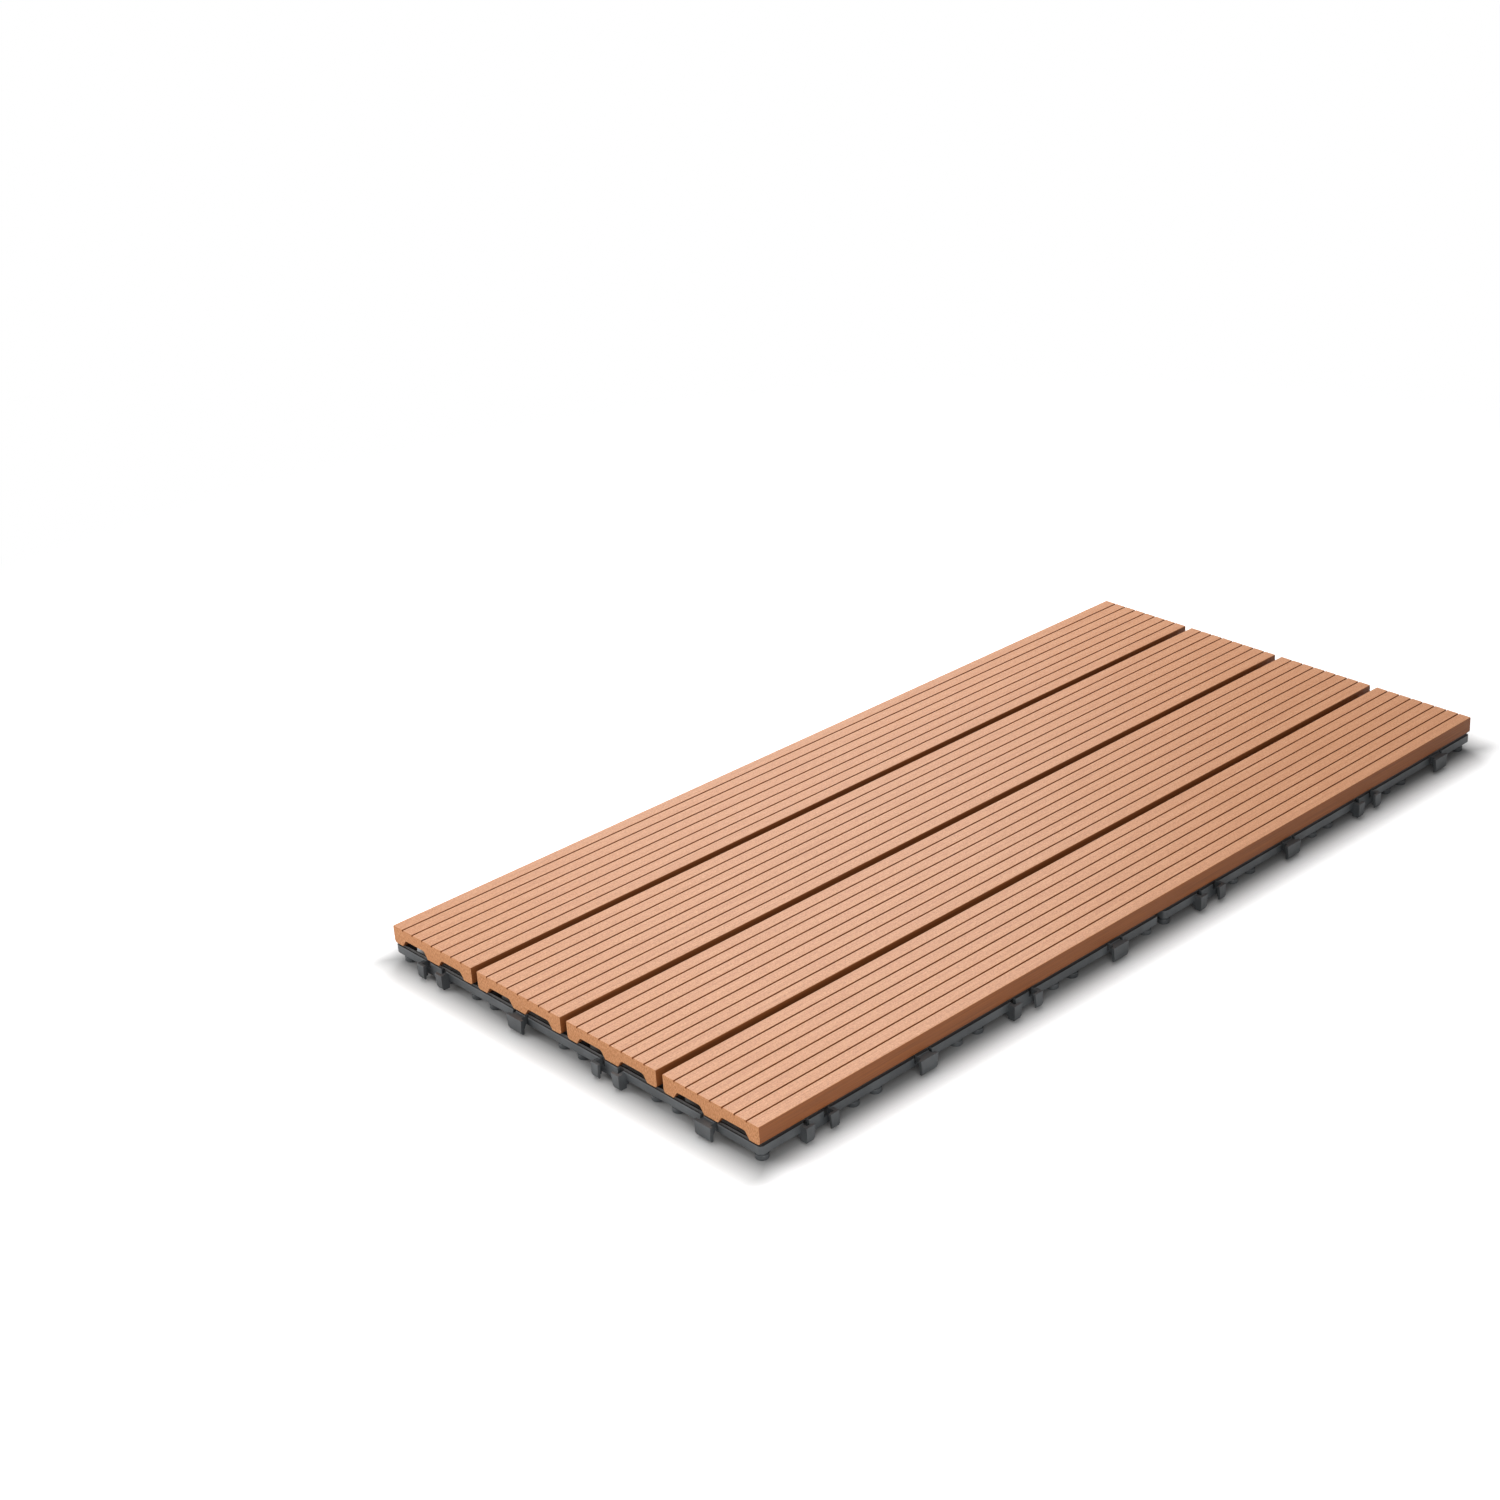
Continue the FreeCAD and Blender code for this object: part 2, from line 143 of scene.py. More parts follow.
def add(tree, kind, sockets=None, stops=(), **settings):
    # A node with its settings. A socket, by name or number, takes a value, another node's output, or a node,
    # which gives its first output. Stops are a colour ramp's, as (place, linear colour).
    made = tree.nodes.new("ShaderNode" + kind)
    for key, value in settings.items():
        setattr(made, key, value)
    for key, value in (sockets or {}).items():
        if isinstance(value, bpy.types.Node):
            value = value.outputs[0]
        if isinstance(value, bpy.types.NodeSocket):
            tree.links.new(value, made.inputs[key])
        else:
            made.inputs[key].default_value = value
    while stops and len(made.color_ramp.elements) < len(stops):
        made.color_ramp.elements.new(0.5)
    for k, (place, colour) in enumerate(stops):
        made.color_ramp.elements[k].position = place
        made.color_ramp.elements[k].color = colour
    return made


def newMaterial(name):
    material = bpy.data.materials.new(name)
    material.use_nodes = True
    material.node_tree.nodes.clear()
    return material, material.node_tree


def addPatterns(tree, patterns):
    # Object coordinates, and noise on them for each pattern, which is given as its grain along X, Y and Z in
    # mm, its detail and its roughness.
    place = add(tree, "TexCoord").outputs["Object"]
    made = {}
    for name, (grain, detail, roughness) in patterns.items():
        scaled = add(tree, "Mapping", {"Vector": place, "Scale": [1 / (size * mm) for size in grain]})
        values = {"Vector": scaled, "Scale": 1.0, "Detail": detail, "Roughness": roughness}
        made[name] = add(tree, "TexNoise", values)
    return place, made


deckColours = {
    "land": "#D09166", "landDark": "#B4774F", "landPale": "#E2AC82", "fleck": "#985C35", "skin": "#955422",
    "skinDark": "#6C3C19", "cut": "#C68657", "cutDark": "#8E5631", "cutPale": "#E0AF82",
}
deckPatterns = {
    "lines": ((60, 0.5, 0.5), 3.0, 0.6),  # brush lines, 60 mm long
    "speckle": ((0.9, 0.6, 0.6), 1.0, 0.5),
    "drift": ((140, 7, 9), 2.0, 0.5),  # slow drifts of shade along a board
    "flecks": ((2.5, 0.45, 0.45), 2.0, 0.55),  # wood flour, dark and pale
    "grit": ((0.5, 0.4, 0.4), 2.0, 0.5),
    "tear": ((0.5, 0.5, 1.6), 4.0, 0.7),  # torn fibre on a sawn end
}
deckFinish = {
    "fleck": (0.34, 0.26), "pale": (0.66, 0.74),  # noise where a fleck begins, and where it is full
    "up": (0.55, 0.9), "end": (0.3, 0.6),  # parts of the normal for a land, and for a sawn end
    "brushed": (-0.35, -0.1),  # mm from the top
    "driftShare": 0.35, "fleckShare": 0.55, "paleShare": 0.5,
    "lineRelief": 0.6, "gritRelief": 0.4, "tearRelief": 1.5, "relief": 0.12, "bump": 0.55,
    "landRough": 0.44, "skinRough": 0.62, "endRough": 0.8, "ior": 1.5,
}


def makeDeckMaterial(topHeight, f):
    # Wood-plastic composite, extruded and then brushed: wood flour in polyethylene. Brushing opens the
    # lands to a pale matt surface with fine lines along the board, and leaves the darker extruded skin
    # in the grooves and on the sides. The ends are sawn, so they show torn pale fibre.
    material, tree = newMaterial("brushed extruded wood-plastic composite")
    place, noise = addPatterns(tree, deckPatterns)
    c = {name: linear(value) for name, value in deckColours.items()}
    height = add(tree, "SeparateXYZ", {"Vector": place}).outputs["Z"]
    facing = add(tree, "SeparateXYZ", {"Vector": add(tree, "NewGeometry").outputs["Normal"]}).outputs
    along = add(tree, "Math", {0: facing["X"]}, operation="ABSOLUTE")
    faint, full = [topHeight + depth * mm for depth in f["brushed"]]
    masks = {}
    for name, source, begin, end, share in (
        ("fleck", noise["flecks"], *f["fleck"], f["fleckShare"]),
        ("pale", noise["flecks"], *f["pale"], f["paleShare"]),
        ("up", facing["Z"], *f["up"], 1.0),
        ("high", height, faint, full, 1.0),
        ("end", along, *f["end"], 1.0),
    ):
        values = {"Value": source, "From Min": begin, "From Max": end, "To Max": share}
        masks[name] = add(tree, "MapRange", values)
    masks["drift"] = add(tree, "Math", {0: noise["drift"], 1: f["driftShare"]}, operation="MULTIPLY")
    # brushed only where the surface looks up and lies close under the top
    masks["brushed"] = add(tree, "Math", {0: masks["up"], 1: masks["high"]}, operation="MULTIPLY")

    shade = add(tree, "Mix", {0: 0.5, 6: noise["lines"], 7: noise["speckle"]}, data_type="RGBA").outputs[2]
    landStops = [(0.33, c["landDark"]), (0.5, c["land"]), (0.67, c["landPale"])]
    land = add(tree, "ValToRGB", {"Fac": shade}, landStops)
    for mask, colour in (("drift", "landDark"), ("fleck", "fleck"), ("pale", "landPale")):
        land = add(tree, "Mix", {0: masks[mask], 6: land, 7: c[colour]}, data_type="RGBA").outputs[2]
    skin = add(tree, "ValToRGB", {"Fac": noise["lines"]}, [(0.25, c["skinDark"]), (0.7, c["skin"])])
    skin = add(tree, "Mix", {0: masks["fleck"], 6: skin, 7: c["skinDark"]}, data_type="RGBA").outputs[2]
    cutStops = [(0.28, c["cutDark"]), (0.5, c["cut"]), (0.75, c["cutPale"])]
    cut = add(tree, "ValToRGB", {"Fac": noise["tear"]}, cutStops)
    colour = add(tree, "Mix", {0: masks["brushed"], 6: skin, 7: land}, data_type="RGBA").outputs[2]
    colour = add(tree, "Mix", {0: masks["end"], 6: colour, 7: cut}, data_type="RGBA").outputs[2]

    torn = add(tree, "Math", {0: noise["tear"], 1: masks["end"]}, operation="MULTIPLY")
    relief = 0.0
    parts = ((noise["lines"], "lineRelief"), (noise["grit"], "gritRelief"), (torn, "tearRelief"))
    for source, share in parts:
        relief = add(tree, "Math", {0: source, 1: f[share], 2: relief}, operation="MULTIPLY_ADD")
    bump = add(tree, "Bump", {"Height": relief, "Strength": f["bump"], "Distance": f["relief"] * mm})
    # the brushed lands have a soft sheen, the skin less, and the torn ends none to speak of
    rough = f["skinRough"]
    for mask, finish in (("end", "endRough"), ("brushed", "landRough")):
        change = {0: masks[mask], 1: f[finish] - f["skinRough"], 2: rough}
        rough = add(tree, "Math", change, operation="MULTIPLY_ADD")
    shader = {"Base Color": colour, "Roughness": rough, "IOR": f["ior"], "Normal": bump}
    add(tree, "OutputMaterial", {"Surface": add(tree, "BsdfPrincipled", shader)})
    return material


# the last colour is painted shade, the nearly black line where the gap under the boards lies in shadow
gridColours = {"body": "#404345", "worn": "#5E6163", "deep": "#2E3133", "paintedSeamShade": "#150E0A"}
gridPatterns = {"grain": ((0.35, 0.35, 0.35), 2.0, 0.5), "cloud": ((22, 22, 22), 3.0, 0.5)}
gridFinish = {
    "paintedSeamShade": (-1.15, -0.95),  # mm from the boards' underside, where the painted shade begins and where it is full
    "grainShare": 0.25, "mouldRadius": 0.35, "relief": 0.05, "bump": 0.3, "rough": 0.42, "ior": 1.49,
}


def makeGridMaterial(seatHeight, f):
    # Polypropylene with carbon black and chalk, injection-moulded in a spark-eroded tool: a dark
    # blue-grey, half-matt, with a fine even grain and edges that the mould leaves slightly round.
    material, tree = newMaterial("moulded grey polypropylene")
    place, noise = addPatterns(tree, gridPatterns)
    c = {name: linear(value) for name, value in gridColours.items()}
    stops = [(0.3, c["deep"]), (0.5, c["body"]), (0.8, c["worn"])]
    colour = add(tree, "ValToRGB", {"Fac": noise["cloud"]}, stops)
    worn = add(tree, "Math", {0: noise["grain"], 1: f["grainShare"]}, operation="MULTIPLY")
    # the last millimetre under the boards is painted nearly black: painted shade for the shadow in the gap
    # between boards and beam
    height = add(tree, "SeparateXYZ", {"Vector": place}).outputs["Z"]
    faint, full = [seatHeight + depth * mm for depth in f["paintedSeamShade"]]
    paintedSeamShade = add(tree, "MapRange", {"Value": height, "From Min": faint, "From Max": full})
    for mask, name in ((worn, "worn"), (paintedSeamShade, "paintedSeamShade")):
        colour = add(tree, "Mix", {0: mask, 6: colour, 7: c[name]}, data_type="RGBA").outputs[2]
    soft = add(tree, "Bevel", {"Radius": f["mouldRadius"] * mm}, samples=4)
    relief = {"Height": noise["grain"], "Strength": f["bump"], "Distance": f["relief"] * mm, "Normal": soft}
    bump = add(tree, "Bump", relief)
    shader = {"Base Color": colour, "Roughness": f["rough"], "IOR": f["ior"], "Normal": bump}
    add(tree, "OutputMaterial", {"Surface": add(tree, "BsdfPrincipled", shader)})
    return material


screwColours = {"dull": "#A9ADB0", "bright": "#C9CCCF"}
screwPatterns = {"spangle": ((0.8, 0.8, 0.8), 3.0, 0.5)}
screwRough = {"To Min": 0.28, "To Max": 0.45}


def makeScrewMaterial():
    # Carbon steel, cold-headed and zinc-plated: bright grey with a faint blue cast, dulled a little.
    material, tree = newMaterial("zinc-plated steel")
    spangle = addPatterns(tree, screwPatterns)[1]["spangle"]
    c = {name: linear(value) for name, value in screwColours.items()}
    colour = add(tree, "ValToRGB", {"Fac": spangle}, [(0.3, c["dull"]), (0.7, c["bright"])])
    rough = add(tree, "MapRange", {"Value": spangle, **screwRough})
    shader = add(tree, "BsdfPrincipled", {"Base Color": colour, "Metallic": 1.0, "Roughness": rough})
    add(tree, "OutputMaterial", {"Surface": shader})
    return material


low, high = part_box("slat_1")
deckMaterial = makeDeckMaterial(high.z, deckFinish)
gridMaterial = makeGridMaterial(low.z, gridFinish)
screwMaterial = makeScrewMaterial()
print("materials made")


# Slats

slatShape = {
    "topRound": 0.6, "footRound": 2.2, "toeRound": 0.35, "legFoot": 7.5, "legRoot": 10.5, "spineFoot": 10,
    "spineRoot": 16, "channelDepth": 4.2, "channelRound": 2.0, "grooves": 7, "groovePitch": 8.75,
    "grooveWidth": 1.0, "grooveFloor": 0.7, "grooveDepth": 0.9, "lipRound": 0.25, "floorRound": 0.12,
    "endEdge": 0.2, "stations": 9, "roundSteps": 6,
}


def slatOutline(width, bottom, top, s):
    # The section in Y and Z, seen along X: the grooves, one dip repeated at their pitch along the top line,
    # then half of the sides and the underside, written once and mirrored. Its corners are rounded last.
    half = width / 2
    lip, floor = s["grooveWidth"] / 2, s["grooveFloor"] / 2
    groove = np.array([[-lip, 0], [-floor, -s["grooveDepth"]], [floor, -s["grooveDepth"]], [lip, 0]]) * mm
    middles = (np.arange(s["grooves"]) - (s["grooves"] - 1) / 2) * s["groovePitch"] * mm
    dips = (groove[None] + np.stack([middles, np.full_like(middles, top)], 1)[:, None]).reshape(-1, 2)[::-1]
    dipRounds = np.tile([s["lipRound"], s["floorRound"], s["floorRound"], s["lipRound"]], s["grooves"])
    roof = bottom + s["channelDepth"] * mm
    left = np.array([[-half, top], [-half, bottom], [-half + s["legFoot"] * mm, bottom],
                     [-half + s["legRoot"] * mm, roof], [-s["spineRoot"] / 2 * mm, roof],
                     [-s["spineFoot"] / 2 * mm, bottom]])
    leftNames = ("topRound", "footRound", "toeRound", "channelRound", "channelRound", "toeRound")
    leftRounds = [s[name] for name in leftNames]
    corners = np.concatenate([dips, left, left[::-1] * [-1, 1]])
    radii = np.concatenate([dipRounds, leftRounds, leftRounds[::-1]]) * mm
    return roundCorners(corners, radii, s["roundSteps"])


def makeSlat(node, s):
    # The section carried along X. Its first and last rings are drawn in a little, which breaks the sawn
    # edge.
    low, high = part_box(node)
    outline = slatOutline(high.y - low.y, low.z, high.z, s)
    edge = s["endEdge"] * mm
    inner = np.linspace(low.x + edge, high.x - edge, s["stations"])
    stations = np.concatenate([[low.x], inner, [high.x]])
    depths = np.zeros(len(stations))
    depths[[0, -1]] = edge / 2  # more than this would fold the small radii at the lips of the grooves
    sections = np.stack([inset(outline, depth) for depth in depths])
    rings = np.empty((*sections.shape[:2], 3))
    rings[..., 0] = stations[:, None]
    rings[..., 1] = sections[..., 0] + (low.y + high.y) / 2
    rings[..., 2] = sections[..., 1]
    piece = makePiece(node + "_board", [ringLoft(rings)], deckMaterial)
    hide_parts(node)
    return piece


slats = [makeSlat("slat_%d" % k, slatShape) for k in (1, 2, 3, 4)]
print("slats made", len(slats))


# Base grids

gridShape = {
    "side": 295.0, "gridPitch": 300.0, "slatPitch": 75.0, "wall": 2.2, "corner": 2.5, "cornerSteps": 6,
    "beamBottom": 5.7, "top": 11.5, "block": 6.0, "ribWall": 1.8, "ribSpacing": 15.5, "plateBottom": 8.5,
    "plateLength": 13.0, "windowBottom": 6.7, "windowTop": 10.5, "seamBottom": 10.5, "seamDepth": 1.2,
    "webBottom": 2.8, "hookHalf": 10.9, "hookSlot": 5.1, "hookArm": 2.0, "tabStem": 4.0, "tabHalf": 6.2,
    "edge": 0.28, "edgeSteps": 2,
}
gridPlaces = {
    "ribs": (-1, 0, 1), "hooks": (-1.5, 0.5), "tabs": (-0.5, 1.5),  # in quarters of a grid's side
    "slats": (-1.5, -0.5, 0.5, 1.5),  # in slat pitches
}
clipShape = {
    "bottom": 1.2, "shoulder": 3.0, "top": 10.0, "reach": 4.5, "bevel": 0.9, "tipBack": 2.8, "tabBack": 2.5,
    "slotLead": 1.0, "tabFoot": 5.4, "stemFoot": 0.02, "sunk": 0.3, "edge": 0.35, "edgeSteps": 3,
}
footShape = {
    "pad": 3.55, "padTop": 2.9, "edge": 0.6, "rim": 0.35, "neck": 2.95, "flare": 0.45, "sunk": 0.2,
    "inset": 5.5, "sides": 32, "steps": 5,
}


def ribMiddles(g, places):  # two ribs stand half their spacing either side of each place
    pair = np.array([-1, 1]) * g["ribSpacing"] / 2
    return np.add.outer(np.array(places) * g["side"] / 4, pair).ravel()


def cellMap(breaks, blocks):
    # Every block (x0, x1, y0, y1, z0, z1, solid) fills or clears the cells between its faces.
    middles = [(b[1:] + b[:-1]) / 2 for b in breaks]
    filled = np.zeros([len(m) for m in middles], bool)
    for x0, x1, y0, y1, z0, z1, solid in blocks:
        inside = [(m > a) & (m < b) for m, a, b in zip(middles, (x0, y0, z0), (x1, y1, z1))]
        filled[np.ix_(*inside)] = solid
    return filled


def cellSurface(breaks, filled):
    # The surface is every cell wall with a filled cell on one side only, turned to face the empty side.
    padded = np.pad(filled, 1).astype(np.int8)
    sizes = [len(b) for b in breaks]
    quads = []
    for axis in range(3):
        keep = [slice(1, -1)] * 3
        keep[axis] = slice(None)
        step = np.diff(padded, axis=axis)[tuple(keep)]
        around = np.zeros((4, 3), int)
        around[[1, 2], (axis + 1) % 3] = 1
        around[[2, 3], (axis + 2) % 3] = 1
        for sign in (-1, 1):
            corner = np.argwhere(step == sign)[:, None] + around[None, ::-sign]
            quads.append((corner[..., 0] * sizes[1] + corner[..., 1]) * sizes[2] + corner[..., 2])
    used, quads = np.unique(np.concatenate(quads), return_inverse=True)
    points = np.stack([b[k] for b, k in zip(breaks, np.unravel_index(used, sizes))], 1)
    return points, quads.reshape(-1, 4)


def roundPlan(points, half, radius):
    # In the square at each corner of the plan a point keeps its direction from the square's inner corner,
    # and its distance becomes the greater of its two offsets, which makes the square a quarter disc.
    rounded = points.copy()
    over = np.maximum(np.abs(points[:, :2]) - (half - radius), 0)
    inCorner = (over > tiny).all(1)
    over = over[inCorner]
    over *= over.max(1, keepdims=True) / np.linalg.norm(over, axis=1, keepdims=True)
    rounded[inCorner, :2] = np.sign(points[inCorner, :2]) * (half - radius + over)
    return rounded


def turned(points, turn):  # quarter turns about the grid's own middle
    points = np.array(points, float)
    for _ in range(turn):
        points[..., :2] = points[..., 1::-1] * [-1, 1]
    return points


def gridBlocks(g):
    # the rim, the pairs of ribs both ways, the corners, the plates that the screws go through, and along
    # each side a seam under the boards, webs under the beam between hooks, and windows by hooks and tabs
    half, quarter, rib = g["side"] / 2, g["side"] / 4, g["ribWall"] / 2
    inside = half - g["wall"]
    low, top = g["beamBottom"], g["top"]
    blocks = [(-half, half, -half, half, low, top, True)]
    blocks.append((-inside, inside, -inside, inside, low, top, False))
    for line in ribMiddles(g, gridPlaces["ribs"]):
        blocks.append((line - rib, line + rib, -half, half, low, top, True))
        blocks.append((-half, half, line - rib, line + rib, low, top, True))
    near = inside - g["block"]
    spans = ((-half, -near), (near, half))
    blocks += [(*x, *y, low, top, True) for x in spans for y in spans]
    wide, long = g["ribSpacing"] / 2, g["plateLength"] / 2
    for x in (-quarter, quarter):
        for y in np.array(gridPlaces["slats"]) * g["slatPitch"]:
            blocks.append((x - wide, x + wide, y - long, y + long, g["plateBottom"], top, True))
    strips = [(-half, half, g["seamDepth"], g["seamBottom"], top, False)]
    windows = {"hooks": (g["hookSlot"], g["hookHalf"] - g["hookArm"]), "tabs": (g["tabStem"], g["tabHalf"])}
    for kind, (a, b) in windows.items():
        for line in np.array(gridPlaces[kind]) * quarter:
            if kind == "hooks":
                ends = line - g["hookHalf"], line + g["hookHalf"]
                strips.append((*ends, g["wall"], g["webBottom"], low, True))
            for start, end in ((line - b, line - a), (line + a, line + b)):
                strips.append((start, end, g["wall"], g["windowBottom"], g["windowTop"], False))
    for turn in range(4):
        for start, end, depth, bottom, upper, solid in strips:
            (x0, y0), (x1, y1) = np.sort(turned([(start, -half), (end, depth - half)], turn), axis=0)
            blocks.append((x0, x1, y0, y1, bottom, upper, solid))
    return blocks


def clipFront(z, c):  # hooks and tabs reach equally far, and are bevelled at the foot
    return np.where(z == c["bottom"], c["bevel"] - c["reach"], -c["reach"])


def hookRings(c, g, side):
    # An L in plan at each height z. The slot behind its tip widens downwards: its half width is
    # hookSlot + slotLead * (top - z) / (top - bottom).
    z = np.array([c["bottom"], c["shoulder"], c["top"]])
    slot = g["hookSlot"] + c["slotLead"] * (c["top"] - z) / (c["top"] - c["bottom"])
    outer, arm, front = g["hookHalf"], g["hookHalf"] - g["hookArm"], clipFront(z, c)
    x = np.stack(np.broadcast_arrays(outer, outer, slot, slot, arm, arm), 1) * side
    y = np.stack(np.broadcast_arrays(c["sunk"], front, front, -c["tipBack"], -c["tipBack"], c["sunk"]), 1)
    return np.stack(np.broadcast_arrays(x, y, z[:, None]), -1)[:, ::side]


def tabRings(c, g):
    # A T in plan at each height z: a stem whose root goes back into the beam as z rises to the beam's
    # underside, and a plate whose half width grows evenly from tabFoot at the bottom to tabHalf at the top.
    z = np.array([c["bottom"], c["shoulder"], g["beamBottom"], c["top"]])
    rise = np.minimum((z - c["bottom"]) / (g["beamBottom"] - c["bottom"]), 1)
    root = c["stemFoot"] - c["tabBack"] + (c["tabBack"] + c["sunk"] - c["stemFoot"]) * rise
    wing = c["tabFoot"] + (g["tabHalf"] - c["tabFoot"]) * (z - c["bottom"]) / (c["top"] - c["bottom"])
    x = np.stack(np.broadcast_arrays(g["tabStem"], g["tabStem"], wing, wing), 1)
    y = np.stack(np.broadcast_arrays(root, -c["tabBack"], -c["tabBack"], clipFront(z, c)), 1)
    x, y = np.concatenate([x, -x[:, ::-1]], 1), np.concatenate([y, y[:, ::-1]], 1)
    return np.stack(np.broadcast_arrays(x, y, z[:, None]), -1)


def footRings(x, y, f, top):
    # A round pad whose radius follows a quarter circle at the sole and another at its upper rim, and over
    # it a neck that flares a little into the beam: radius = neck + flare * t^3 for t from 0 to 1.
    angle = np.linspace(0, 2 * np.pi, f["sides"], endpoint=False)
    arc = np.linspace(0, np.pi / 2, f["steps"])
    t = np.linspace(0, 1, f["steps"])
    sole = (f["pad"] - f["edge"] + f["edge"] * np.sin(arc), f["edge"] - f["edge"] * np.cos(arc))
    rim = (f["pad"] - f["rim"] + f["rim"] * np.cos(arc), f["padTop"] - f["rim"] + f["rim"] * np.sin(arc))
    neck = (f["neck"] + f["flare"] * t ** 3, f["padTop"] + (top + f["sunk"] - f["padTop"]) * t)
    radius, height = np.concatenate([sole, rim, neck], axis=1)[..., None]
    return np.stack(np.broadcast_arrays(x + radius * np.cos(angle), y + radius * np.sin(angle), height), -1)


def footPlaces(g, f):  # where the inner ribs cross, under every rib along the rim, and at the corners
    inner = ribMiddles(g, (-1, 1))
    line = g["side"] / 2 - f["inset"]
    along = np.append(ribMiddles(g, gridPlaces["ribs"]), -line)
    rim = np.stack([along, np.full_like(along, -line)], 1)
    crossings = np.stack(np.meshgrid(inner, inner, indexing="ij"), -1).reshape(-1, 2)
    return np.concatenate([crossings] + [turned(rim, turn) for turn in range(4)])


def soften(piece, width, segments):  # rounded edges, as a mould leaves them
    bevel = piece.modifiers.new("Mould radius", "BEVEL")
    bevel.width = width * mm
    bevel.segments = segments
    bevel.limit_method = "ANGLE"
    bevel.angle_limit = math.radians(turnAngles["mould"])
    bevel.use_clamp_overlap = True
    piece.modifiers.move(len(piece.modifiers) - 1, 0)


def markStrips(mesh, middleX, g):
    # An edge is kept where it runs along Y on the side of a rib and lies in the top or the bottom plane, so
    # that these two planes stay strips and plain rectangles instead of one face with many holes.
    close = 0.01  # mm
    ends = np.empty(len(mesh.edges) * 2, np.int32)
    mesh.edges.foreach_get("vertices", ends)
    spots = np.empty(len(mesh.vertices) * 3)
    mesh.vertices.foreach_get("co", spots)
    a, b = np.moveaxis(spots.reshape(-1, 3)[ends.reshape(-1, 2)] - [middleX, 0, 0], 1, 0) / mm
    sides = np.add.outer(ribMiddles(g, gridPlaces["ribs"]), np.array([-1, 1]) * g["ribWall"] / 2).ravel()
    onSide = (np.abs(a[:, :1] - sides) < close).any(1)
    inPlane = (np.abs(a[:, 2:] - [g["beamBottom"], g["top"]]) < close).any(1)
    level = (np.abs(a - b)[:, [0, 2]] < close).all(1)
    mesh.edges.foreach_set("use_seam", onSide & inPlane & level)


def makeGrid(node, g, c, f):
    low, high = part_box(node)
    middle = np.array([(low.x + high.x) / 2, (low.y + high.y) / 2, 0])
    half, quarter = g["side"] / 2, g["side"] / 4
    blocks = gridBlocks(g)
    rounding = half - g["corner"] * np.linspace(0, 1, g["cornerSteps"])
    breaks = []
    for extra in ((rounding, -rounding), (rounding, -rounding), ()):
        k = 2 * len(breaks)
        faces = [value for block in blocks for value in block[k:k + 2]]
        breaks.append(np.unique(np.round(np.concatenate([faces, *extra]), 4)))
    points, quads = cellSurface(breaks, cellMap(breaks, blocks))
    points = roundPlan(points, half, g["corner"]) * mm + middle
    lattice = makePiece(node + "_lattice", [(points, quads, [])], gridMaterial)
    markStrips(lattice.data, middle[0], g)
    work = bmesh.new()
    work.from_mesh(lattice.data)
    flat = math.radians(turnAngles["flat"])
    bmesh.ops.dissolve_limit(work, angle_limit=flat, verts=work.verts, edges=work.edges, delimit={"SEAM"})
    work.to_mesh(lattice.data)
    work.free()
    soften(lattice, g["edge"], g["edgeSteps"])

    hooks = [hookRings(c, g, side) for side in (-1, 1)]
    shells = []
    for turn in range(4):
        for places, kinds in ((gridPlaces["hooks"], hooks), (gridPlaces["tabs"], [tabRings(c, g)])):
            for line in np.array(places) * quarter:
                shells += [ringLoft(turned(rings + [line, -half, 0], turn) * mm + middle) for rings in kinds]
    clips = makePiece(node + "_clips", shells, gridMaterial)
    soften(clips, c["edge"], c["edgeSteps"])

    feet = [ringLoft(footRings(x, y, f, g["beamBottom"]) * mm + middle) for x, y in footPlaces(g, f)]
    stubs = makePiece(node + "_feet", feet, gridMaterial)
    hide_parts(node)
    counts = [len(piece.data.polygons) for piece in (lattice, clips, stubs)]
    print(node, "faces of lattice, clips and feet", *counts)


for node in ("base_grid_left", "base_grid_right"):
    makeGrid(node, gridShape, clipShape, footShape)


# Screws

screwShape = {
    "headRadius": 3.5, "headTop": 2.1, "headWall": 0.7, "headRings": 26, "pole": 0.02, "recessHalf": 0.42,
    "recessReach": 1.9, "recessDepth": 1.1, "recessEdge": 0.18, "recessFloor": 0.5, "shank": 1.25,
    "crest": 1.5, "pitch": 1.2, "toothSlope": 5, "length": 11.0, "point": 1.6, "tip": 0.12, "plate": 8.5,
    "sides": 48, "steps": 90,
}


